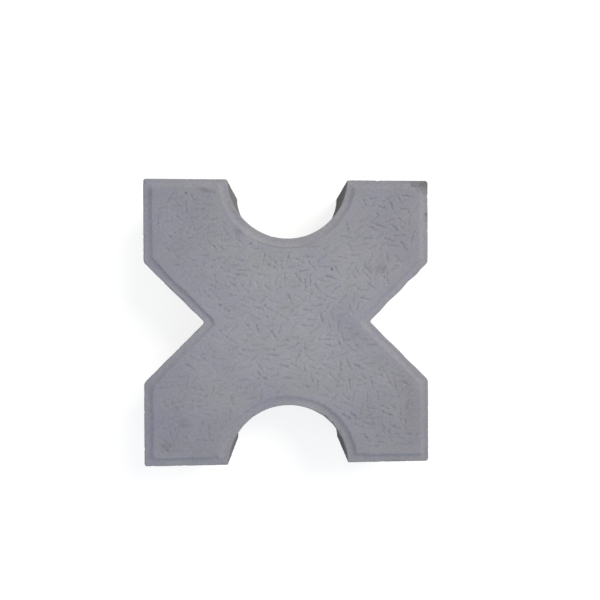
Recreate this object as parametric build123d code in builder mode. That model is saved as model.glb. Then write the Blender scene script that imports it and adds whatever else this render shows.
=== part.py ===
"""X-shaped concrete paving stone for a planted pavement, cast as one piece.

The frame has +Z up, with the origin at the middle of the bed face. The half-round
notches are in the front and back edges (-Y and +Y), the right-angled notches in the
left and right edges (-X and +X). Lengths are in millimetres.
"""

import os
from math import atan, degrees, sqrt

from build123d import *

# Plan, at the foot of the walls
SIDE = 300.0  # across the flats, and the pitch of the laid pavement
SCALLOP_RADIUS = 61.5  # half-round notch, a full circle with the next stone
VEE_DEPTH = 62.0  # right-angled notch, a square planting hole with the next stone

# Corners in plan, at the foot of the walls
LOBE_CORNER_RADIUS = 4.0  # the four outer corners
SCALLOP_MOUTH_RADIUS = 3.0  # where the half-round notch meets the edge
VEE_MOUTH_RADIUS = 8.0  # where the right-angled notch meets the edge
VEE_TIP_RADIUS = 1.5  # the inner corner of the right-angled notch

# Section
THICKNESS = 80.0  # from the bed face to the tread
DRAFT = 1.0  # each wall leans in by this much, so that the stone leaves its mould
BED_ARRIS_RADIUS = 1.0  # blunted edge round the bed face
TOP_ARRIS_RADIUS = 1.2  # blunted edge between the walls and the ledge

# Rim: a ledge round the top, and the sloped shoulder up to the tread
RIM_STEP = 2.4  # height of the tread above the ledge
LEDGE_WIDTH = 5.6  # from the wall to the foot of the shoulder
SHOULDER_RUN = 3.9  # width of the shoulder in plan
SHOULDER_CORNER_RADIUS = 5.0  # foot of the shoulder, round its outer corners
SHOULDER_TIP_RADIUS = 2.5  # foot of the shoulder, round the inner corner of the notch
COVE_RADIUS = 8.0  # hollow at the foot of the shoulder
BROW_RADIUS = 1.6  # blunted edge of the tread

ledge_height = THICKNESS - RIM_STEP
wall_taper = degrees(atan(DRAFT / ledge_height))
shoulder_inset = DRAFT + LEDGE_WIDTH
shoulder_taper = degrees(atan(SHOULDER_RUN / RIM_STEP))


def draw_plan(inset):
    """The square with its four notches, every side of it moved in by the inset."""
    vee_side = VEE_DEPTH * sqrt(2) + 2 * inset
    Rectangle(SIDE - 2 * inset, SIDE - 2 * inset)
    with Locations((0, SIDE / 2), (0, -SIDE / 2)):
        Circle(SCALLOP_RADIUS + inset, mode=Mode.SUBTRACT)
    with Locations((SIDE / 2, 0), (-SIDE / 2, 0)):
        Rectangle(vee_side, vee_side, rotation=45, mode=Mode.SUBTRACT)


def corners_at(sketch, x, y):
    """The sketch's corners nearest (x, y) and its mirror images in both axes."""
    places = {(x, y), (-x, y), (x, -y), (-x, -y)}
    return [sketch.vertices().sort_by_distance(place)[0] for place in places]


with BuildSketch() as footprint:
    draw_plan(0)
    fillet(corners_at(footprint, SIDE / 2, SIDE / 2), LOBE_CORNER_RADIUS)
    fillet(corners_at(footprint, SCALLOP_RADIUS, SIDE / 2), SCALLOP_MOUTH_RADIUS)
    fillet(corners_at(footprint, SIDE / 2, VEE_DEPTH), VEE_MOUTH_RADIUS)
    fillet(corners_at(footprint, SIDE / 2 - VEE_DEPTH, 0), VEE_TIP_RADIUS)

with BuildSketch(Plane.XY.offset(ledge_height)) as shoulder_foot:
    draw_plan(shoulder_inset)
    for x, y in ((SIDE / 2, SIDE / 2), (SCALLOP_RADIUS, SIDE / 2), (SIDE / 2, VEE_DEPTH)):
        fillet(corners_at(shoulder_foot, x, y), SHOULDER_CORNER_RADIUS)
    tip_reach = SIDE / 2 - VEE_DEPTH - shoulder_inset * sqrt(2)
    fillet(corners_at(shoulder_foot, tip_reach, 0), SHOULDER_TIP_RADIUS)

with BuildPart() as paving_stone:
    add(footprint.sketch)
    extrude(amount=ledge_height, taper=wall_taper)
    add(shoulder_foot.sketch)
    extrude(amount=RIM_STEP, taper=shoulder_taper)
    ledge = paving_stone.faces().filter_by(Axis.Z).sort_by(Axis.Z)[1]
    fillet(ledge.inner_wires()[0].edges(), COVE_RADIUS)
    fillet(paving_stone.faces().sort_by(Axis.Z)[-1].edges(), BROW_RADIUS)
    fillet(ledge.outer_wire().edges(), TOP_ARRIS_RADIUS)
    fillet(paving_stone.faces().sort_by(Axis.Z)[0].edges(), BED_ARRIS_RADIUS)

paving_stone.part.label = "paving_stone"
os.makedirs("parts", exist_ok=True)
export_step(paving_stone.part, "parts/paving_stone.step")
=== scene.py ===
"""The looks of a cast concrete paving stone.

One closed mesh stands for the stone. Rings of its outline are carried up the section of
the wall and the rim, the tread and the bed are filled in between the end rings, and the
relief that casting and use leave is added to all of it. Shapes are worked out in
millimetres, as in the part's source, and become metres when the mesh is made.
"""

import bpy
import numpy as np
from mathutils import Matrix, Vector
from mathutils.geometry import delaunay_2d_cdt


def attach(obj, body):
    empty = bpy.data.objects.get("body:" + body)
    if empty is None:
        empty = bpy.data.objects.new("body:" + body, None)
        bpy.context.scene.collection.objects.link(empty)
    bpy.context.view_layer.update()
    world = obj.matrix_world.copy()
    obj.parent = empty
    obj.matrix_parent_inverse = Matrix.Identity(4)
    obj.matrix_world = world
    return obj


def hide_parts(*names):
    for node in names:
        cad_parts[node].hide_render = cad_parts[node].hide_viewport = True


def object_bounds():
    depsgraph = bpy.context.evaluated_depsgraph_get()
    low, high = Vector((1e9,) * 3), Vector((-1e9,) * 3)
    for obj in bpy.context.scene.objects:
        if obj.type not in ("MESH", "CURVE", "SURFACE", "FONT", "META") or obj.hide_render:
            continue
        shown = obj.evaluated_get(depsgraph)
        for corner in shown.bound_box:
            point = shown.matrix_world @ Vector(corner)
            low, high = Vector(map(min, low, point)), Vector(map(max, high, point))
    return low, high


METRES = 0.001  # one millimetre

# The stone's sizes, as in the part's source
SIDE = 300.0
SCALLOP_RADIUS = 61.5
VEE_DEPTH = 62.0
LOBE_CORNER_RADIUS = 4.0
SCALLOP_MOUTH_RADIUS = 3.0
VEE_MOUTH_RADIUS = 8.0
VEE_TIP_RADIUS = 1.5
THICKNESS = 80.0
DRAFT = 1.0
BED_ARRIS_RADIUS = 1.0
TOP_ARRIS_RADIUS = 1.2
RIM_STEP = 2.4
LEDGE_WIDTH = 5.6
SHOULDER_RUN = 3.9
SHOULDER_CORNER_RADIUS = 5.0
SHOULDER_TIP_RADIUS = 2.5
COVE_RADIUS = 8.0
BROW_RADIUS = 1.6

# Heights, and insets from the foot of the wall, that follow from them
HALF = SIDE / 2
LEDGE_HEIGHT = THICKNESS - RIM_STEP
SHOULDER_FOOT = DRAFT + LEDGE_WIDTH
SHOULDER_BROW = SHOULDER_FOOT + SHOULDER_RUN
SLOPE = np.arctan2(RIM_STEP, SHOULDER_RUN)
COVE_START = SHOULDER_FOOT - COVE_RADIUS * np.tan(SLOPE / 2)
BROW_END = SHOULDER_BROW + BROW_RADIUS * np.tan(SLOPE / 2)

# How finely the mesh follows the stone: points on each stretch of a quarter of the outline,
# rows up each stretch of the section, and the pitch of the tread's and the bed's own points
TIP_POINTS = 4
CORNER_POINTS = 6
STRAIGHT_POINTS = 58
SCALLOP_POINTS = 66
ARRIS_ROWS = 5
WALL_ROWS = 34
LEDGE_ROWS = 4
SHOULDER_ROWS = 12
FIELD_INSET = BROW_END + 1.8  # where the rings end and the tread's own mesh begins
TREAD_PITCH = 3.5
BED_PITCH = 5.0

# The tread's pattern of short grooves
GROOVE_SEED = 11
GROOVE_PITCH = 11.9
GROOVE_JITTER_SHARE = 0.3  # of the pitch
GROOVE_HEADING = 172.0  # degrees, what most of them are near
GROOVE_LENGTH = 11.2
GROOVE_LENGTH_SHARES = (0.75, 1.15)
GROOVE_BOW = 0.22  # usual rise of the middle off the chord
GROOVE_HALF_WIDTH = 0.6
GROOVE_FLOOR_SHARE = 0.85  # of the half width
GROOVE_DEPTH = 0.24
GROOVE_STRENGTHS = (0.52, 0.88)  # shares of the depth
GROOVE_SPACING = 5.0  # nearer than this they push each other away
GROOVE_PASSES = 36

# The tread's pinholes, and the dots at the ends of some grooves
PIT_SEED = 17
PINHOLES = 45
PINHOLE_PITCH = 9.0
PINHOLE_JITTER = 4.0
PINHOLE_RADII = (0.5, 0.9)
PINHOLE_DEPTHS = (0.3, 0.6)
DOTTED_SHARE = 0.14  # of the grooves
DOT_RADII = (0.7, 1.0)
DOT_DEPTHS = (0.4, 0.7)

# The walls' roughness and air holes
WALL_ROUGHNESS = 0.15  # usual depth
AIR_HOLE_SEED = 23
AIR_HOLES = 130
AIR_HOLE_RADIUS = 1.0  # the least
AIR_HOLE_DEPTH_SHARE = 0.8  # of the radius
AIR_HOLE_MARGIN = 5.0  # kept clear at the foot and the top of the walls

# Chips of the top arris: how high the waves are where one starts, and how far it cuts
CHIP_START = 1.4
SMALL_CHIP_START = 1.3
SMALL_CHIP_SHARE = 0.5
CHIP_CUT_IN = 0.5
CHIP_CUT_DOWN = 0.8

# How far the rim strays from the true section
LEFT_STRETCH_SHARE = 0.15  # the shoulder is wider along the left edge
FRONT_STRETCH_SHARE = 0.1  # and round the front notch
FRONT_SHIFT = 0.8
NOTCH_SWAY = 0.15  # usual waver of the right-angled notches' sides
BACK_RIGHT_SWAY = 0.34  # and of the one at the back of the right notch
TOP_SINK = 0.05
TOP_UNEVENNESS = 0.04

# Waves of casting and wear: spread, wavelength and seed of each
WALL_WAVES = [(0.10, 9.0, 21), (0.07, 4.0, 22)]
CHIP_WAVES = [(1.0, 7.0, 31)]
SMALL_CHIP_WAVES = [(1.0, 3.0, 32)]
RIM_WAVES = [(0.22, 60.0, 33), (0.08, 9.0, 34)]
NOTCH_WAVES = [(1.0, 25.0, 35)]
BED_WAVES = [(0.25, 14.0, 36), (0.15, 6.0, 37)]
TOP_WAVES = [(1.0, 25.0, 38)]
CORNER_WAVES = [(0.6, 6.0, 41), (0.2, 2.5, 42)]
STAIN_END_WAVES = [(0.6, 5.0, 43)]
HUE_WAVES = [(0.01, 70.0, 51)]

# The worn back right corner: its line's direction, and its distance from the stone's middle,
# and how far to the left its stain reaches
CORNER_DIRECTION = (0.481, 0.877)
CORNER_DISTANCE = 186.9
STAIN_END = 130.5

# Single pits of the tread: x, y, radius, depth
PITS = [
    (-105.2, 133.1, 1.4, 1.0),
    (45.6, 54.7, 1.6, 1.4),
    (-38.5, 81.3, 1.2, 1.1),
    (-128.8, -126.8, 1.1, 0.8),
    (-122.4, -127.0, 1.0, 0.7),
    (-124.7, -131.8, 1.1, 0.7),
    (-94.6, -121.2, 1.2, 0.6),
    (93.8, 112.6, 1.1, 0.6),
    (101.0, 46.2, 1.2, 0.6),
]

# Soft dark patches of the top: x, y, half length, half width, turn in degrees, strength. Most are
# stains; some are painted shade, as marked.
PATCHES = [
    (65.0, -8.0, 20.0, 9.0, -35.0, 0.16),
    (129.0, -86.0, 24.0, 7.0, 90.0, 0.20),
    (97.8, 55.6, 5.2, 5.2, 0.0, 0.48),
    (85.0, 56.5, 5.0, 3.0, -50.0, 0.25),
    (-107.8, -105.8, 5.0, 5.0, 0.0, 0.26),
    (-125.5, -128.5, 6.0, 5.0, 0.0, 0.32),
    (-50.8, 93.6, 4.0, 2.6, -40.0, 0.70),
    (-84.3, 136.8, 7.0, 2.0, -20.0, 0.75),
    # Chips of the right edge, dark with dirt and painted shade
    (147.3, 113.2, 2.4, 2.0, 0.0, 0.90),
    (148.0, 110.0, 4.0, 1.2, 90.0, 0.55),
    (147.6, 106.6, 1.8, 1.4, 0.0, 0.75),
    (119.0, -148.4, 12.0, 1.4, 0.0, 0.35),
    (147.0, -138.0, 5.0, 2.0, 90.0, 0.35),
    (133.0, 149.0, 16.0, 1.7, 0.0, 0.80),
    # The next three are painted shade: on the shoulder of the right notch's back side, and at the
    # foot of the back notch's shoulder
    (112.2, 37.8, 32.0, 2.2, 45.0, 0.13),
    (0.0, 84.0, 24.0, 3.5, 0.0, 0.12),
    (-52.7, 110.3, 17.0, 3.5, 127.0, 0.14),
    (0.0, -73.0, 40.0, 11.0, 0.0, 0.11),
    (104.0, -44.0, 28.0, 9.0, -45.0, 0.08),
]

# Soft pale patches of the top, in the same terms. Some are paler tone; those along the right and
# left edges are painted light on the shoulders, as marked.
PALE_PATCHES = [
    (115.5, 34.5, 32.0, 4.0, 45.0, 0.07),
    # Painted light on the right edge's lit shoulder and ledge
    (144.5, 98.0, 30.0, 6.0, 90.0, 0.06),
    (-108.0, 145.5, 30.0, 3.5, 0.0, 0.07),
    # Painted light on the left edges' shoulders, lifting their shade
    (-140.5, 100.0, 32.0, 2.5, 90.0, 0.06),
    (-140.5, -100.0, 32.0, 2.5, 90.0, 0.05),
    (-124.0, 100.0, 25.0, 10.0, 90.0, 0.03),
    (104.0, 46.0, 28.0, 10.0, 45.0, 0.03),
]

# The concrete's colours
TREAD_GREY = (0.299, 0.3015, 0.3373, 1)
WALL_GREY = (0.215, 0.211, 0.206, 1)
# The next is the dark of the grooves and pits: dirt, and painted shade in them
GROOVE_DIRT_AND_SHADE = (0.125, 0.12, 0.085, 1)
# The next is the dark of the stains, also used for painted shade in some patches and on the back
# notch's brow
STAIN_AND_SHADE_GREY = (0.126, 0.125, 0.125, 1)
# The next is painted shade in the walls' air holes and pores
HOLE_SHADE_GREY = (0.12, 0.12, 0.115, 1)
MOSSY_FACTORS = (1.007, 1.011, 0.983, 1)  # the hue drifts between these two
BLUISH_FACTORS = (0.993, 0.989, 1.017, 1)

# The concrete's noise: features a metre, detail, roughness and shift of each
DRAB_NOISE = (60.0, 4.0, 0.65, (0.1, 0.5, 0.9))
HUE_NOISE = (45.0, 3.0, 0.8, (0.6, 0.2, 0.4))
MOTTLE_NOISE = (40.0, 2.0, 0.5, (0.3, 0.1, 0.2))
BLOT_NOISE = (350.0, 3.0, 0.6, (0.8, 0.3, 0.6))
GRAIN_NOISE = (1000.0, 2.0, 0.6, (0.7, 0.4, 0.1))
RAGGED_NOISE = (300.0, 3.0, 0.6, (0.4, 0.4, 0.4))
SHEEN_NOISE = (160.0, 3.0, 0.6, (0.2, 0.9, 0.5))
SAND_NOISE = (900.0, 4.0, 0.6, (0.5, 0.6, 0.7))

# The walls' fine pores: cells a metre, reach as a share of a cell, and shift
PORES = (280.0, 0.3, (0.2, 0.7, 0.3))

# The sand's relief, in metres
SAND_RELIEF = 0.0004

# The camera: place in metres, turns about X, Y and Z in degrees, sensor and lens
CAMERA_PLACE = (-0.00322, 0.02448, 0.48713)
CAMERA_TURNS = (-0.222, -2.24, -0.224)
SENSOR_WIDTH = 36.0
LENS = 23.466

# The floor, in metres: just under the bed, so that the two never share a plane
FLOOR_REACH = 8.0
FLOOR_LEVEL = -0.0004
FLOOR_GREY = (0.3, 0.3, 0.3, 1)
FLOOR_GLOW = 0.8


def waves(points, kinds, count=28):
    """Smooth random values, the sum over kinds given as spread, wavelength and seed.

    Each kind is a sum of cosine waves of about one wavelength, in seeded directions and
    phases.
    """
    total = np.zeros(len(points))
    for spread, wavelength, seed in kinds:
        rng = np.random.default_rng(seed)
        heading = rng.normal(size=(count, points.shape[1]))
        heading /= np.linalg.norm(heading, axis=1, keepdims=True)
        number = 2 * np.pi / (wavelength * rng.uniform(0.65, 1.6, count))
        phase = rng.uniform(0, 2 * np.pi, count)
        wave = np.cos(points @ (heading * number[:, None]).T + phase).sum(1)
        total += spread * wave * np.sqrt(2 / count)
    return total


def smoothstep(low, high, value):
    """0 below low, 1 above high, and a smooth S between."""
    t = np.clip((value - low) / (high - low), 0, 1)
    return t * t * (3 - 2 * t)


def inset_of(points):
    """How far plan points lie inside the outline at the foot of the walls.

    The least of the distances to the straight sides, the notch circles and the lines of
    the right-angled notches, all taken in one quarter by symmetry.
    """
    x, y = np.abs(points[:, 0]), np.abs(points[:, 1])
    scallop = np.hypot(x, HALF - y) - SCALLOP_RADIUS
    vee = (y - x + HALF - VEE_DEPTH) / np.sqrt(2)
    return np.minimum.reduce([HALF - x, HALF - y, scallop, vee])


def arc(centre_x, centre_y, radius, start, end, count):
    """Points on a circular arc between two angles in degrees."""
    angle = np.radians(np.linspace(start, end, count))
    return np.column_stack([centre_x + radius * np.cos(angle), centre_y + radius * np.sin(angle)])


def outline(inset):
    """A closed ring of the stone's plan, every side moved in by the inset.

    A quarter runs from the tip of the right-angled notch, along it, round its mouth, up
    the side, round the lobe's corner, along the edge, round the scallop's mouth and down
    the scallop; its mirror images make up the ring. Up the wall, and again up the
    shoulder, outer corners get sharper and the inner corner at the tip gets rounder.
    """
    stations = [0, DRAFT, SHOULDER_FOOT, SHOULDER_BROW]
    shoulder = [SHOULDER_CORNER_RADIUS, SHOULDER_CORNER_RADIUS - SHOULDER_RUN]
    lobe, mouth, vee = (
        np.interp(inset, stations, [foot, foot - DRAFT, *shoulder])
        for foot in (LOBE_CORNER_RADIUS, SCALLOP_MOUTH_RADIUS, VEE_MOUTH_RADIUS)
    )
    shoulder = [SHOULDER_TIP_RADIUS, SHOULDER_TIP_RADIUS + SHOULDER_RUN]
    tip = np.interp(inset, stations, [VEE_TIP_RADIUS, VEE_TIP_RADIUS + DRAFT, *shoulder])
    side = HALF - inset
    tip_x = HALF - VEE_DEPTH - inset * np.sqrt(2) + tip * np.sqrt(2)
    vee_y = VEE_DEPTH + (inset + vee) * (np.sqrt(2) - 1)
    scallop = SCALLOP_RADIUS + inset
    mouth_x = np.sqrt((scallop + mouth) ** 2 - (inset + mouth) ** 2)
    mouth_turn = np.degrees(np.arctan2(inset + mouth, -mouth_x))
    corners = [
        arc(tip_x, 0, tip, 180, 135, TIP_POINTS),
        arc(side - vee, vee_y, vee, -45, 0, CORNER_POINTS),
        arc(side - lobe, side - lobe, lobe, 0, 90, CORNER_POINTS),
        arc(mouth_x, side - mouth, mouth, 90, mouth_turn, CORNER_POINTS),
    ]
    share = np.linspace(0, 1, STRAIGHT_POINTS)[1:-1, None]
    quarter = []
    for here, there in zip(corners, corners[1:]):
        quarter += [here, here[-1] + share * (there[0] - here[-1])]
    sweep = arc(0, HALF, scallop, mouth_turn - 180, -90, SCALLOP_POINTS)
    quarter = np.vstack(quarter + [corners[-1], sweep[1:]])
    back = quarter[::-1]
    return np.vstack(
        [
            quarter[:-1],
            (back * [-1, 1])[:-1],
            (quarter * [-1, -1])[:-1],
            (back * [1, -1])[:-1],
        ]
    )


def rim_height(inset):
    """Height of the top at an inset: the flat ledge, the hollow cove, the straight shoulder,
    the rounded brow and the flat tread, each meeting the next at a tangent."""
    in_cove = np.clip(inset - COVE_START, 0, COVE_RADIUS)
    in_brow = np.clip(BROW_END - inset, 0, BROW_RADIUS)
    cove = LEDGE_HEIGHT + COVE_RADIUS - np.sqrt(COVE_RADIUS**2 - in_cove**2)
    brow = THICKNESS - BROW_RADIUS + np.sqrt(BROW_RADIUS**2 - in_brow**2)
    line = LEDGE_HEIGHT + (inset - SHOULDER_FOOT) * np.tan(SLOPE)
    cove_end = COVE_START + COVE_RADIUS * np.sin(SLOPE)
    brow_start = BROW_END - BROW_RADIUS * np.sin(SLOPE)
    return np.select([inset < cove_end, inset < brow_start], [cove, line], brow)


def section():
    """Insets and heights up the section: bed arris, wall, top arris, ledge and shoulder."""
    turn = np.linspace(0, np.pi / 2, ARRIS_ROWS)
    out, up = 1 - np.cos(turn), np.sin(turn)
    wall_top = LEDGE_HEIGHT - TOP_ARRIS_RADIUS
    height = np.linspace(BED_ARRIS_RADIUS, wall_top, WALL_ROWS)[1:-1]
    bed = np.column_stack([BED_ARRIS_RADIUS * (1 - up), BED_ARRIS_RADIUS * out])
    wall = np.column_stack([np.zeros_like(height), height])
    top = np.column_stack([TOP_ARRIS_RADIUS * out, wall_top + TOP_ARRIS_RADIUS * up])
    rows = np.vstack([bed, wall, top])
    rows[:, 0] += DRAFT * rows[:, 1] / LEDGE_HEIGHT
    flat = np.linspace(rows[-1, 0], COVE_START, LEDGE_ROWS)[1:]
    bend = np.linspace(COVE_START, BROW_END + 0.4, SHOULDER_ROWS)[1:]
    inset = np.hstack([flat, bend, FIELD_INSET])
    return np.vstack([rows, np.column_stack([inset, rim_height(inset)])])


def lattice(pitch, inset):
    """Triangular lattice points that lie inside the outline by more than the inset."""
    rows = np.arange(-HALF, HALF, pitch * np.sqrt(0.75))
    columns = np.arange(-HALF, HALF, pitch)
    y, x = np.meshgrid(rows, columns, indexing="ij")
    x = x + pitch / 2 * (np.arange(len(rows)) % 2)[:, None]
    points = np.column_stack([x.ravel(), y.ravel()])
    return points[inset_of(points) > inset]


def scatter_grooves():
    """Centres, headings, lengths, bows and strengths of the tread's grooves.

    A jittered triangular lattice of strokes at random headings, more of them from back left
    to front right. Five beads on each stroke then push the beads of other strokes away,
    which shifts and turns the strokes until few of them touch. They get fainter to the left.
    """
    rng = np.random.default_rng(GROOVE_SEED)
    centre = lattice(GROOVE_PITCH, FIELD_INSET + 2)
    jitter = rng.uniform(-GROOVE_JITTER_SHARE, GROOVE_JITTER_SHARE, centre.shape)
    centre = centre + jitter * GROOVE_PITCH
    count = len(centre)
    turn = rng.uniform(-1, 1, count)
    heading = np.radians(GROOVE_HEADING) + np.pi / 2 * (turn - 0.2 * np.sin(np.pi * turn))
    length = GROOVE_LENGTH * rng.uniform(*GROOVE_LENGTH_SHARES, count)
    bead = np.linspace(-0.5, 0.5, 5)
    owner = np.repeat(np.arange(count), len(bead))
    other = owner[:, None] != owner[None]
    for _ in range(GROOVE_PASSES):
        cos, sin = np.cos(heading), np.sin(heading)
        bead_x = (centre[:, :1] + bead * (length * cos)[:, None]).ravel()
        bead_y = (centre[:, 1:] + bead * (length * sin)[:, None]).ravel()
        gap_x, gap_y = bead_x[:, None] - bead_x, bead_y[:, None] - bead_y
        distance = np.sqrt(gap_x**2 + gap_y**2) + 1e-6
        push = other * np.clip(GROOVE_SPACING / distance - 1, 0, 20)
        force_x = (gap_x * push).sum(1).reshape(count, -1)
        force_y = (gap_y * push).sum(1).reshape(count, -1)
        twist = ((force_y * cos[:, None] - force_x * sin[:, None]) * bead).sum(1) * length
        centre = centre + 0.1 * np.column_stack([force_x.sum(1), force_y.sum(1)])
        heading = heading + 0.02 * np.clip(twist, -4, 4)
    reach = np.column_stack([np.cos(heading), np.sin(heading)]) * length[:, None] / 2
    room = np.minimum(inset_of(centre - reach), inset_of(centre + reach))
    keep = room > FIELD_INSET + 0.3 + GROOVE_HALF_WIDTH
    bow = rng.normal(0, GROOVE_BOW, count)
    strength = rng.uniform(*GROOVE_STRENGTHS, count)
    strength *= 0.62 + 0.38 * smoothstep(-110, 0, centre[:, 0] + 0.25 * centre[:, 1])
    return centre[keep], heading[keep], length[keep], bow[keep], strength[keep]


def groove_mesh(centre, heading, length, bow):
    """Plan points of every groove and the edges along it.

    Each groove is a small grid of four lines along it by nine stations: the outer lines are
    at the tops of its walls, the inner at their feet. The end stations are on half circles.
    The bow lifts the middle of a line off its chord.
    """
    line = np.array([-1, -GROOVE_FLOOR_SHARE, GROOVE_FLOOR_SHARE, 1])
    station = np.linspace(-0.5, 0.5, 7)
    cap = GROOVE_HALF_WIDTH * np.sqrt(1 - line**2)
    along = length[:, None, None] * station[None, :, None] + 0 * line
    start = -length[:, None, None] / 2 - cap - 0.02
    along = np.concatenate([start, along, -start], axis=1)
    across = GROOVE_HALF_WIDTH * line + 0 * along
    across = across + bow[:, None, None] * (1 - (2 * along / length[:, None, None]) ** 2)
    cos, sin = np.cos(heading)[:, None, None], np.sin(heading)[:, None, None]
    points = np.stack([along * cos - across * sin, along * sin + across * cos], axis=-1)
    points += centre[:, None, None]
    index = np.arange(points[..., 0].size).reshape(points.shape[:3])
    edges = np.stack([index[:, :-1], index[:, 1:]], axis=-1).reshape(-1, 2)
    return points.reshape(-1, 2), edges


def groove_share(points, centre, heading, length, bow, strength):
    """How deep each plan point lies in a groove, from 0 on the face to 1 on a deep floor.

    The distance to the nearest groove's bowed middle line over its half width, through an
    S-curve, times that groove's strength.
    """
    share = np.zeros(len(points))
    for part in np.array_split(np.arange(len(points)), 1 + len(points) // 4000):
        gap_x, gap_y = (points[part][:, axis, None] - centre[:, axis] for axis in (0, 1))
        along = gap_x * np.cos(heading) + gap_y * np.sin(heading)
        across = gap_y * np.cos(heading) - gap_x * np.sin(heading)
        across = across - bow * (1 - (2 * along / length) ** 2)
        past = np.clip(np.abs(along) - length / 2, 0, None)
        off = np.sqrt(across**2 + past**2) / GROOVE_HALF_WIDTH
        depth = strength * (1 - smoothstep(GROOVE_FLOOR_SHARE, 1, off))
        share[part] = depth.max(1)
    return share


def scatter_pits(centre, heading, length):
    """The single pits, a dot at the end of some grooves, and a few pinholes."""
    rng = np.random.default_rng(PIT_SEED)
    count = len(centre)
    dotted = rng.random(count) < DOTTED_SHARE
    end = centre + np.column_stack([np.cos(heading), np.sin(heading)]) * length[:, None] / 2
    dots = [end, rng.uniform(*DOT_RADII, count), rng.uniform(*DOT_DEPTHS, count)]
    places = lattice(PINHOLE_PITCH, FIELD_INSET + 3)
    places = places[rng.choice(len(places), PINHOLES, replace=False)]
    places = places + rng.uniform(-PINHOLE_JITTER, PINHOLE_JITTER, (PINHOLES, 2))
    holes = [places, rng.uniform(*PINHOLE_RADII, PINHOLES), rng.uniform(*PINHOLE_DEPTHS, PINHOLES)]
    holes = np.column_stack(holes)[inset_of(places) > FIELD_INSET + 1.2]
    return np.vstack([PITS, np.column_stack(dots)[dotted], holes])


def pit_mesh(pits):
    """Plan points of every pit: its middle, and three circles out to its edge."""
    out = np.array([0.4, 0.75, 1.0])[:, None]
    turn = np.linspace(0, 2 * np.pi, 9, endpoint=False)[None] + np.arange(3)[:, None] * np.pi / 9
    circle = np.stack([out * np.cos(turn), out * np.sin(turn)], axis=-1).reshape(-1, 2)
    points = pits[:, None, :2] + pits[:, 2][:, None, None] * circle[None]
    return np.vstack([pits[:, :2], points.reshape(-1, 2)])


def pit_depth(points, pits):
    """How deep plan points lie in round pits: a parabolic bowl in each."""
    depth = np.zeros(len(points))
    for part in np.array_split(np.arange(len(points)), 1 + len(points) // 8000):
        gap_x, gap_y = (points[part][:, axis, None] - pits[:, axis] for axis in (0, 1))
        gap = np.hypot(gap_x, gap_y) / pits[:, 2]
        depth[part] = (pits[:, 3] * np.clip(1 - gap**2, 0, None)).max(1)
    return depth


def air_holes(spot, allowed):
    """How deep wall points lie in the round air holes that casting leaves.

    A parabolic bowl round each of some wall points, picked by seed; the deepest bowl counts.
    """
    rng = np.random.default_rng(AIR_HOLE_SEED)
    picks = rng.choice(np.flatnonzero(allowed), AIR_HOLES, replace=False)
    radius = rng.gamma(2.0, 0.5, AIR_HOLES) + AIR_HOLE_RADIUS
    deepest = AIR_HOLE_DEPTH_SHARE * radius
    dent = np.zeros(len(spot))
    for part in np.array_split(np.arange(len(spot)), 12):
        square = sum((spot[part][:, axis, None] - spot[picks, axis]) ** 2 for axis in range(3))
        dent[part] = (deepest * np.clip(1 - square / radius**2, 0, None)).max(1)
    return dent


def notch_waver(plan):
    """How far the sides of the right-angled notches waver, most on the back of the right one.

    Slow random waves in plan, held to the straight part of each side and to the rim.
    """
    x, y = plan[:, 0], np.abs(plan[:, 1])
    off = (y - np.abs(x) + HALF - VEE_DEPTH) / np.sqrt(2)
    held = smoothstep(14, 4, off) * smoothstep(3, 12, y) * smoothstep(61, 50, y)
    back_right = (x > 0) & (plan[:, 1] > 0)
    return held * np.where(back_right, BACK_RIGHT_SWAY, NOTCH_SWAY) * waves(plan, NOTCH_WAVES)


def past_corner_line(points):
    """How far plan points lie past the ragged slanting line of the worn back right corner.

    Their reach in the line's direction, less the line's own distance, plus random waves.
    """
    plan = points[:, :2]
    return plan @ np.array(CORNER_DIRECTION) - CORNER_DISTANCE + waves(plan, CORNER_WAVES)


def worn_height(points):
    """Greatest height that wear leaves: the tread's, then a slope down to the ledge's."""
    past = past_corner_line(points)
    return np.interp(past, [-1.5, 1.5, 12.0], [THICKNESS, LEDGE_HEIGHT + 0.3, LEDGE_HEIGHT - 0.4])


def soft_spots(points, spots):
    """Strength of soft oval patches, each given as x, y, half lengths, a turn and a strength.

    A bell curve of the distance in each oval's own widths; the strongest patch counts.
    """
    x, y, wide, high, turn, strength = np.array(spots).T
    cos, sin = np.cos(np.radians(turn)), np.sin(np.radians(turn))
    gap_x, gap_y = points[:, :1] - x, points[:, 1:2] - y
    along = (gap_x * cos + gap_y * sin) / wide
    across = (gap_y * cos - gap_x * sin) / high
    return (strength * np.exp(-(along**2) - across**2)).max(1)


def corner_stain(points):
    """Dirt past the worn corner's line and right of its ragged end.

    More of it along the back edge, and most at the very corner.
    """
    x, y = points[:, 0], points[:, 1]
    past = smoothstep(-0.2, 1.2, past_corner_line(points))
    past *= smoothstep(STAIN_END - 1, STAIN_END + 1, x + waves(points[:, :2], STAIN_END_WAVES))
    edge = smoothstep(HALF - 9.5, HALF - 6.5, y)
    corner = smoothstep(HALF - 11, HALF - 4, x) * smoothstep(HALF - 12, HALF - 7, y)
    return past * (0.4 + 0.3 * edge + 0.3 * corner)


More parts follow.
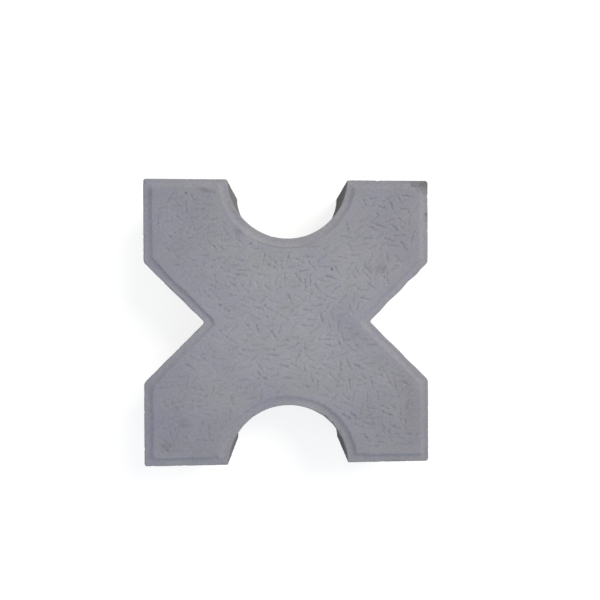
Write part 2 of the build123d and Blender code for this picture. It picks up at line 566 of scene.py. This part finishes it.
def notch_lines(points):
    """Thin dark lines: painted shade on the brow over the middle of the back half-round notch,
    and a dark line on the arris at the right of the front one.

    A bell curve of the distance from the notch's circle, held to a stretch of its turn.
    """
    into = HALF - np.abs(points[:, 1])
    turn = np.degrees(np.arctan2(points[:, 0], into))
    inset = np.hypot(points[:, 0], into) - SCALLOP_RADIUS
    # Painted shade on the back notch's brow
    brow = np.exp(-(((inset - BROW_END - 0.2) / 0.7) ** 2))
    brow *= smoothstep(-30, -24, turn) * smoothstep(28, 20, turn)
    arris = np.exp(-(((inset - DRAFT - 0.2) / 0.9) ** 2))
    arris *= smoothstep(24, 33, turn) * smoothstep(60, 52, turn)
    return np.where(points[:, 1] > 0, 0.4 * brow, 0.8 * arris)


def stain_and_shade_of(points):
    """Dirt and painted shade on the top: the darkest of its patches, some of them painted shade,
    its worn corner, and its thin lines, the one on the back notch's brow painted shade.
    """
    stains = [soft_spots(points, PATCHES), corner_stain(points), notch_lines(points)]
    return np.maximum.reduce(stains) * smoothstep(70, 76, points[:, 2])


def tint_of(points):
    """Slow drift of the concrete's colour, with painted light, as factors of red, green and blue.

    Palest in the middle and dimmer out in the lobes, most of all in the front ones, which is a
    painted fall-off of light; paler in the soft pale patches, those on the edges' shoulders
    painted light; bluest to the left, a little green right of the middle, and a little brown
    along the arris, with slow random waves between warm and cool.
    """
    x, y = points[:, 0] / HALF, points[:, 1] / HALF
    out = smoothstep(0.2, 1.2, np.hypot(x, y))
    # Painted light: a fall-off from the pale middle to the dimmer lobes, plus the pale patches,
    # some of them painted light
    shade = 1.06 - out * (0.15 - 0.005 * x - 0.02 * y) + soft_spots(points, PALE_PATCHES)
    stations = [-0.95, -0.75, -0.45, 0, 0.55, 0.95]
    cool = np.interp(x, stations, [0.036, 0.017, 0.005, -0.006, 0.004, -0.014])
    less_green = np.interp(x, [-1, 0, 1], [0.0, 0.006, 0.016])
    warm = waves(points[:, :2], HUE_WAVES)
    earth = np.exp(-(((inset_of(points) - DRAFT) / 1.8) ** 2))
    mossy = np.exp(-(((x - 0.15) / 0.4) ** 2) - ((y - 0.2) / 0.3) ** 2)
    red = 1 - 0.6 * cool + warm
    green = 1 - 0.5 * cool + warm - less_green + 0.008 * mossy - 0.02 * earth
    blue = 1 + cool - 0.04 * earth
    return shade[:, None] * np.column_stack([red, green, blue])


def build_rings():
    """The rings' points, row by row up the section, and how deep each lies in an air hole.

    The outline at each row's inset, pushed in along its own normal by the walls' roughness
    and air holes, the chips of the top arris and the waver of the notches' sides. The rim's
    height is then taken at an inset that wavers a little, and that is stretched on the left
    and round the front notch, where the shoulder is wider.
    """
    rows = section()
    rings = np.stack([outline(inset) for inset in rows[:, 0]])
    along = np.roll(rings, -1, axis=1) - np.roll(rings, 1, axis=1)
    along /= np.linalg.norm(along, axis=2, keepdims=True)
    outward = np.stack([along[..., 1], -along[..., 0]], axis=-1).reshape(-1, 2)
    inset, height = np.repeat(rows, rings.shape[1], axis=0).T
    plan = rings.reshape(-1, 2)
    spot = np.column_stack([plan, height])
    wall = height < LEDGE_HEIGHT - 0.01

    rough = np.clip(waves(spot, WALL_WAVES) + WALL_ROUGHNESS, 0, None)
    rough *= 1 - 0.8 * smoothstep(LEDGE_HEIGHT - 4, LEDGE_HEIGHT - 1, height)
    clear = (height > AIR_HOLE_MARGIN) & (height < LEDGE_HEIGHT - AIR_HOLE_MARGIN)
    dent = air_holes(spot, wall & clear)
    arris = np.exp(-(((inset - DRAFT - 0.5) / 1.6) ** 2) - ((height - LEDGE_HEIGHT) / 2.2) ** 2)
    chips = np.clip(waves(spot, CHIP_WAVES) - CHIP_START, 0, 1)
    small_chips = np.clip(waves(spot, SMALL_CHIP_WAVES) - SMALL_CHIP_START, 0, 1)
    chips = arris * (chips + SMALL_CHIP_SHARE * small_chips)
    push = np.where(wall, rough + dent, 0) + CHIP_CUT_IN * chips + notch_waver(plan)
    plan = plan - outward * push[:, None]

    left = smoothstep(HALF - 25, HALF - 10, -plan[:, 0])
    front = smoothstep(24, 15, np.hypot(plan[:, 0], plan[:, 1] + HALF) - SCALLOP_RADIUS)
    stretch = 1 + LEFT_STRETCH_SHARE * left + FRONT_STRETCH_SHARE * front
    cast = COVE_START + (inset - COVE_START - FRONT_SHIFT * front) / stretch
    rise = rim_height(cast + waves(plan, RIM_WAVES)) - rim_height(inset)
    height = height + np.where(wall, 0, rise) - CHIP_CUT_DOWN * chips
    return np.column_stack([plan, height]).reshape(*rings.shape[:2], 3), dent


def fill_ring(ring, inner, lines):
    """Triangles that fill a ring through inner points, a constrained Delaunay net.

    Gives the plan places of the net's points, for each the ring point it is, or -1, and
    the triangles, turned to face up.
    """
    count = len(ring)
    order = np.arange(count)
    edges = np.vstack([np.column_stack([order, np.roll(order, -1)]), lines + count]).tolist()
    points = [Vector(point) for point in np.vstack([ring, inner]).tolist()]
    place, _, faces, source, _, _ = delaunay_2d_cdt(points, edges, [], 1, 1e-6)
    place = np.array([p[:] for p in place])
    source = np.array([s[0] if s else count for s in source])
    source = np.where(source < count, source, -1)
    faces = np.array(faces)
    a, b, c = (place[faces[:, k]] for k in range(3))
    turned = np.cross(b - a, c - a) < 0
    faces[turned] = faces[turned][:, ::-1]
    return place, source, faces


def build_tread(ring):
    """The tread inside its ring: points, the ring point that each is, triangles, how dark each
    point is painted with dirt and painted shade, and which triangles are shaded smooth.

    A flat net through the grooves, the pits and a lattice between them, sunk by the deeper
    of groove and pit.
    """
    grooves = scatter_grooves()
    pits = scatter_pits(*grooves[:3])
    groove_points, groove_edges = groove_mesh(*grooves[:4])
    base = lattice(TREAD_PITCH, FIELD_INSET + 1.2)
    base = base[groove_share(base, *grooves) <= 0]
    inner = np.vstack([groove_points, pit_mesh(pits), base])
    plan, source, faces = fill_ring(ring, inner, groove_edges)
    share, sunk = groove_share(plan, *grooves), pit_depth(plan, pits)
    points = np.column_stack([plan, THICKNESS - np.maximum(GROOVE_DEPTH * share, sunk)])
    # How dark grooves and pits are painted: dirt in them, and painted shade in the recesses
    dirt_and_shade = np.maximum(share, np.clip(1.4 * sunk, 0, 1.4))
    smooth = (share[faces] <= 0).all(1)
    return points, source, faces, dirt_and_shade, smooth


def build_bed(ring):
    """The bed inside its ring, rough from the floor that it was cast on and facing down."""
    plan, source, faces = fill_ring(ring, lattice(BED_PITCH, 3.0), np.zeros((0, 2), int))
    height = np.clip(waves(plan, BED_WAVES), 0, None)
    return np.column_stack([plan, height]), source, faces[:, ::-1]


def settle(points, box):
    """The points with the top's slow unevenness and its worn corner, kept inside the box."""
    top = points[:, 2] > LEDGE_HEIGHT - 3
    points[top, 2] -= TOP_SINK + TOP_UNEVENNESS * np.clip(waves(points[top], TOP_WAVES), -1.2, 2)
    points[:, 2] = np.minimum(points[:, 2], worn_height(points))
    low, high = (np.array(corner) / METRES for corner in box)
    return np.clip(points, low, high)


def build_stone(box):
    """The stone's mesh: points, four- and three-sided faces, which of them are shaded smooth,
    and what the concrete reads.

    The rings are joined by four-sided faces, and the tread and the bed share the points of
    the last and the first ring.
    """
    rings, dent = build_rings()
    tread, tread_ring, tread_faces, dirt_and_shade, tread_smooth = build_tread(rings[-1, :, :2])
    bed, bed_ring, bed_faces = build_bed(rings[0, :, :2])
    walls = rings.reshape(-1, 3)
    index = np.arange(len(walls)).reshape(rings.shape[:2])
    after = np.roll(index, -1, axis=1)
    quads = np.stack([index[:-1], after[:-1], after[1:], index[1:]], axis=-1).reshape(-1, 4)
    tread_new, bed_new = tread_ring < 0, bed_ring < 0
    first_tread = len(walls)
    first_bed = first_tread + tread_new.sum()
    tread_index = np.where(tread_new, first_tread + np.cumsum(tread_new) - 1, index[-1][tread_ring])
    bed_index = np.where(bed_new, first_bed + np.cumsum(bed_new) - 1, index[0][bed_ring])
    triangles = np.vstack([tread_index[tread_faces], bed_index[bed_faces]])
    smooth = np.hstack([np.ones(len(quads), bool), tread_smooth, np.ones(len(bed_faces), bool)])
    points = settle(np.vstack([walls, tread[tread_new], bed[bed_new]]), box)

    groove, hole, side = np.zeros((3, len(points)))
    # Dirt and painted shade in the tread's grooves and pits
    groove[first_tread:first_bed] = dirt_and_shade[tread_new]
    # How deep the air holes are, for the painted shade in them
    hole[:first_tread] = np.clip(dent / 1.5, 0, 1)
    side[:first_tread] = smoothstep(LEDGE_HEIGHT - 0.2, LEDGE_HEIGHT - 2.0, walls[:, 2])
    side[first_bed:] = 1
    # Stains and painted shade, and the tint with its painted light
    stain_and_shade, tint = stain_and_shade_of(points), tint_of(points)
    attributes = {"groove": groove, "hole": hole, "side": side, "stain_and_shade": stain_and_shade, "tint": tint}
    return points, quads, triangles, smooth, attributes


def make_mesh(name, points, quads, triangles, smooth, attributes):
    """A mesh object at the origin from millimetre points, four- and three-sided faces."""
    mesh = bpy.data.meshes.new(name)
    sizes = np.hstack([np.full(len(quads), 4), np.full(len(triangles), 3)]).astype(np.int32)
    corners = np.hstack([quads.ravel(), triangles.ravel()]).astype(np.int32)
    mesh.vertices.add(len(points))
    mesh.vertices.foreach_set("co", (points * METRES).astype(np.float32).ravel())
    mesh.loops.add(len(corners))
    mesh.loops.foreach_set("vertex_index", corners)
    mesh.polygons.add(len(sizes))
    mesh.polygons.foreach_set("loop_start", (np.cumsum(sizes) - sizes).astype(np.int32))
    mesh.polygons.foreach_set("use_smooth", smooth)
    mesh.update(calc_edges=True)
    mesh.validate()
    for key, values in attributes.items():
        if values.ndim == 1:
            layer = mesh.attributes.new(key, "FLOAT", "POINT")
            layer.data.foreach_set("value", values.astype(np.float32))
        else:
            layer = mesh.attributes.new(key, "FLOAT_COLOR", "POINT")
            colour = np.column_stack([values, np.ones(len(values))])
            layer.data.foreach_set("color", colour.astype(np.float32).ravel())
    piece = bpy.data.objects.new(name, mesh)
    bpy.context.scene.collection.objects.link(piece)
    return piece


class Nodes:
    """Short calls for putting a material's nodes together."""

    def __init__(self, name):
        self.material = bpy.data.materials.new(name)
        self.material.use_nodes = True
        self.tree = self.material.node_tree
        self.tree.nodes.clear()

    def add(self, kind, **settings):
        """A node with some of its settings changed."""
        node = self.tree.nodes.new(kind)
        for key, value in settings.items():
            setattr(node, key, value)
        return node

    def feed(self, socket, value):
        """Puts a constant on a socket, or links an output to it."""
        if isinstance(value, bpy.types.NodeSocket):
            self.tree.links.new(value, socket)
        else:
            socket.default_value = value

    def attribute(self, name, output="Fac"):
        """A value or colour of the mesh's points."""
        return self.add("ShaderNodeAttribute", attribute_name=name).outputs[output]

    def place(self, shift):
        """Places in the stone's own frame, shifted so that no two textures line up."""
        node = self.add("ShaderNodeVectorMath", operation="ADD")
        self.feed(node.inputs[0], self.add("ShaderNodeTexCoord").outputs["Object"])
        self.feed(node.inputs[1], shift)
        return node.outputs[0]

    def noise(self, scale, detail, roughness, shift):
        """Smooth noise, scale in features a metre."""
        node = self.add("ShaderNodeTexNoise")
        self.feed(node.inputs["Vector"], self.place(shift))
        self.feed(node.inputs["Scale"], scale)
        self.feed(node.inputs["Detail"], detail)
        self.feed(node.inputs["Roughness"], roughness)
        return node.outputs["Fac"]

    def pores(self, scale, reach, shift):
        """Small round pores, 1 in the middle of one and 0 outside, scale in cells a metre.

        Each cell round a scattered point has a pore of its own random size, up to a share of
        the cell, and about half of the cells have none.
        """
        node = self.add("ShaderNodeTexVoronoi")
        self.feed(node.inputs["Vector"], self.place(shift))
        self.feed(node.inputs["Scale"], scale)
        radius = self.spread(node.outputs["Color"], 0.5, 0.85, 0.0, reach)
        depth = self.math("SUBTRACT", radius, node.outputs["Distance"])
        return self.spread(depth, 0.0, reach / 3, 0.0, 1.0)

    def math(self, operation, *values, clamp=False):
        """One sum on numbers."""
        node = self.add("ShaderNodeMath", operation=operation, use_clamp=clamp)
        for socket, value in zip(node.inputs, values):
            self.feed(socket, value)
        return node.outputs[0]

    def spread(self, value, low, high, to_low, to_high):
        """Carries one range of numbers over to another, held at the ends."""
        node = self.add("ShaderNodeMapRange", clamp=True)
        keys = ("Value", "From Min", "From Max", "To Min", "To Max")
        for key, number in zip(keys, (value, low, high, to_low, to_high)):
            self.feed(node.inputs[key], number)
        return node.outputs["Result"]

    def mix(self, factor, a, b, blend="MIX"):
        """Two colours mixed."""
        node = self.add("ShaderNodeMix", data_type="RGBA", blend_type=blend)
        for socket, value in zip((node.inputs[0], node.inputs[6], node.inputs[7]), (factor, a, b)):
            self.feed(socket, value)
        return node.outputs[2]


def concrete():
    """Matt grey concrete: slow drift with a painted fall-off of light and painted light on some
    shoulders, drab walls, mottled hue and tone, sand grain, pores in the walls, and dirt in
    grooves, holes and stains; painted shade in the grooves, pits, pores and air holes, in some
    dark patches and on a notch's brow."""
    n = Nodes("cast_concrete")
    side = n.attribute("side")
    # The tint carries painted light: the fall-off out to the lobes and the lit shoulders
    colour = n.mix(1.0, n.attribute("tint", "Color"), TREAD_GREY, "MULTIPLY")
    drab = n.spread(n.noise(*DRAB_NOISE), 0.35, 0.65, 0.55, 1.0)
    colour = n.mix(n.math("MULTIPLY", side, drab), colour, WALL_GREY)

    hue = n.spread(n.noise(*HUE_NOISE), 0.4, 0.6, 0.0, 1.0)
    colour = n.mix(1.0, colour, n.mix(hue, MOSSY_FACTORS, BLUISH_FACTORS), "MULTIPLY")
    mottle = n.spread(n.noise(*MOTTLE_NOISE), 0.3, 0.7, 0.966, 1.034)
    blots = n.spread(n.noise(*BLOT_NOISE), 0.28, 0.72, 0.9, 1.085)
    grain = n.spread(n.noise(*GRAIN_NOISE), 0.25, 0.75, 0.88, 1.12)
    tone = n.math("MULTIPLY", n.math("MULTIPLY", mottle, blots), grain)
    colour = n.mix(1.0, colour, tone, "MULTIPLY")

    # Painted shade in the walls' fine pores
    pores = n.math("MULTIPLY", n.pores(*PORES), side)
    colour = n.mix(n.math("MULTIPLY", pores, 0.5), colour, HOLE_SHADE_GREY)
    # Grooves and pits darkened towards a dark brownish grey: dirt and painted shade
    dirt_and_shade = n.math("MULTIPLY", n.attribute("groove"), 0.17, clamp=True)
    colour = n.mix(dirt_and_shade, colour, GROOVE_DIRT_AND_SHADE)
    ragged = n.spread(n.noise(*RAGGED_NOISE), 0.3, 0.7, 0.7, 1.2)
    # Stains, and painted shade in some patches and on the back notch's brow, darken towards a dark
    # grey
    stained_and_shaded = n.math("MULTIPLY", n.attribute("stain_and_shade"), ragged, clamp=True)
    colour = n.mix(n.math("MULTIPLY", stained_and_shaded, 0.8), colour, STAIN_AND_SHADE_GREY)
    # Painted shade in the walls' air holes
    colour = n.mix(n.math("MULTIPLY", n.attribute("hole"), 0.4), colour, HOLE_SHADE_GREY)

    rough = n.spread(n.noise(*SHEEN_NOISE), 0.3, 0.7, 0.84, 0.96)
    bump = n.add("ShaderNodeBump")
    n.feed(bump.inputs["Strength"], 0.4)
    n.feed(bump.inputs["Distance"], SAND_RELIEF)
    n.feed(bump.inputs["Height"], n.math("SUBTRACT", n.noise(*SAND_NOISE), pores))
    shader = n.add("ShaderNodeBsdfPrincipled")
    n.feed(shader.inputs["Base Color"], colour)
    n.feed(shader.inputs["Roughness"], rough)
    n.feed(shader.inputs["Specular IOR Level"], 0.2)
    n.feed(shader.inputs["Normal"], bump.outputs["Normal"])
    n.feed(n.add("ShaderNodeOutputMaterial").inputs["Surface"], shader.outputs[0])
    return n.material


def pale_floor():
    """White as the camera sees it, with a faint shadow, and a mid grey for bounced light."""
    n = Nodes("pale_floor")
    path = n.add("ShaderNodeLightPath")
    seen = n.math("MAXIMUM", path.outputs["Is Camera Ray"], path.outputs["Is Glossy Ray"])
    seen = n.math("MAXIMUM", seen, path.outputs["Is Transmission Ray"])
    diffuse = n.add("ShaderNodeBsdfDiffuse")
    n.feed(diffuse.inputs["Color"], FLOOR_GREY)
    glow = n.add("ShaderNodeEmission")
    n.feed(glow.inputs["Strength"], n.math("MULTIPLY", seen, FLOOR_GLOW))
    both = n.add("ShaderNodeAddShader")
    n.feed(both.inputs[0], diffuse.outputs[0])
    n.feed(both.inputs[1], glow.outputs[0])
    n.feed(n.add("ShaderNodeOutputMaterial").inputs["Surface"], both.outputs[0])
    return n.material


def light_world(strength, colour):
    """Even light from all round, which the camera and reflections see as white."""
    world = bpy.data.worlds.new("studio")
    world.use_nodes = True
    tree = world.node_tree
    tree.nodes.clear()
    path = tree.nodes.new("ShaderNodeLightPath")
    output = tree.nodes.new("ShaderNodeOutputWorld")
    last = None
    for ray in ("Is Camera Ray", "Is Glossy Ray", "Is Transmission Ray"):
        joined = tree.nodes.new("ShaderNodeMath")
        joined.operation = "MAXIMUM"
        tree.links.new(path.outputs[ray], joined.inputs[0])
        if last:
            tree.links.new(last.outputs[0], joined.inputs[1])
        else:
            joined.inputs[1].default_value = 0.0
        last = joined
    lit, seen = tree.nodes.new("ShaderNodeBackground"), tree.nodes.new("ShaderNodeBackground")
    lit.inputs["Color"].default_value = (*colour, 1)
    lit.inputs["Strength"].default_value = strength
    seen.inputs["Color"].default_value = (1, 1, 1, 1)
    choice = tree.nodes.new("ShaderNodeMixShader")
    tree.links.new(last.outputs[0], choice.inputs[0])
    tree.links.new(lit.outputs[0], choice.inputs[1])
    tree.links.new(seen.outputs[0], choice.inputs[2])
    tree.links.new(choice.outputs[0], output.inputs["Surface"])
    bpy.context.scene.world = world


def soft_light(name, turn, climb, size, power, colour, distance=4.0):
    """A square soft light that looks at the stone from a heading and a height, in degrees."""
    lamp = bpy.data.lights.new(name, "AREA")
    lamp.size = size
    lamp.energy = power
    lamp.color = colour
    holder = bpy.data.objects.new(name, lamp)
    turn, climb = np.radians(turn), np.radians(climb)
    direction = Vector((np.cos(climb) * np.cos(turn), np.cos(climb) * np.sin(turn), np.sin(climb)))
    holder.location = direction * distance
    holder.rotation_mode = "QUATERNION"
    holder.rotation_quaternion = direction.to_track_quat("Z", "Y")
    bpy.context.scene.collection.objects.link(holder)


def add_camera():
    """The camera over the stone, a little to the back and tilted by about two degrees."""
    data = bpy.data.cameras.new("camera")
    data.sensor_width = SENSOR_WIDTH
    data.lens = LENS
    camera = bpy.data.objects.new("camera", data)
    turns = [Matrix.Rotation(np.radians(turn), 4, axis) for turn, axis in zip(CAMERA_TURNS, "XYZ")]
    camera.matrix_world = Matrix.Translation(CAMERA_PLACE) @ turns[0] @ turns[1] @ turns[2]
    bpy.context.scene.collection.objects.link(camera)
    bpy.context.scene.camera = camera


def add_floor():
    """A level square under the stone."""
    mesh = bpy.data.meshes.new("floor")
    around = [(-1, -1), (1, -1), (1, 1), (-1, 1)]
    corners = [(FLOOR_REACH * x, FLOOR_REACH * y, FLOOR_LEVEL) for x, y in around]
    mesh.from_pydata(corners, [], [(0, 1, 2, 3)])
    floor = bpy.data.objects.new("floor", mesh)
    mesh.materials.append(pale_floor())
    bpy.context.scene.collection.objects.link(floor)


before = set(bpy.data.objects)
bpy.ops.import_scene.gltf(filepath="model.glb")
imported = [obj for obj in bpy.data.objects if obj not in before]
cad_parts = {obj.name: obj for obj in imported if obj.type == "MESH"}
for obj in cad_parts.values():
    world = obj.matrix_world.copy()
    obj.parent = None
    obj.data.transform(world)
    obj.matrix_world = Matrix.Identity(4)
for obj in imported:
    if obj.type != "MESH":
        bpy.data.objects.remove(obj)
cad_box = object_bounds()

stone = make_mesh("cast_stone", *build_stone(cad_box))
stone.data.materials.append(concrete())
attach(stone, "root")
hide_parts("paving_stone")

add_floor()
light_world(strength=0.53, colour=(0.947, 0.976, 0.96))
soft_light("key", turn=41.0, climb=45.0, size=1.5, power=104.0, colour=(1.06, 1.0, 0.94))
soft_light("fill", turn=270.0, climb=20.0, size=2.5, power=30.0, colour=(0.25, 0.45, 1.0))
add_camera()
bpy.context.scene.view_settings.view_transform = "Standard"
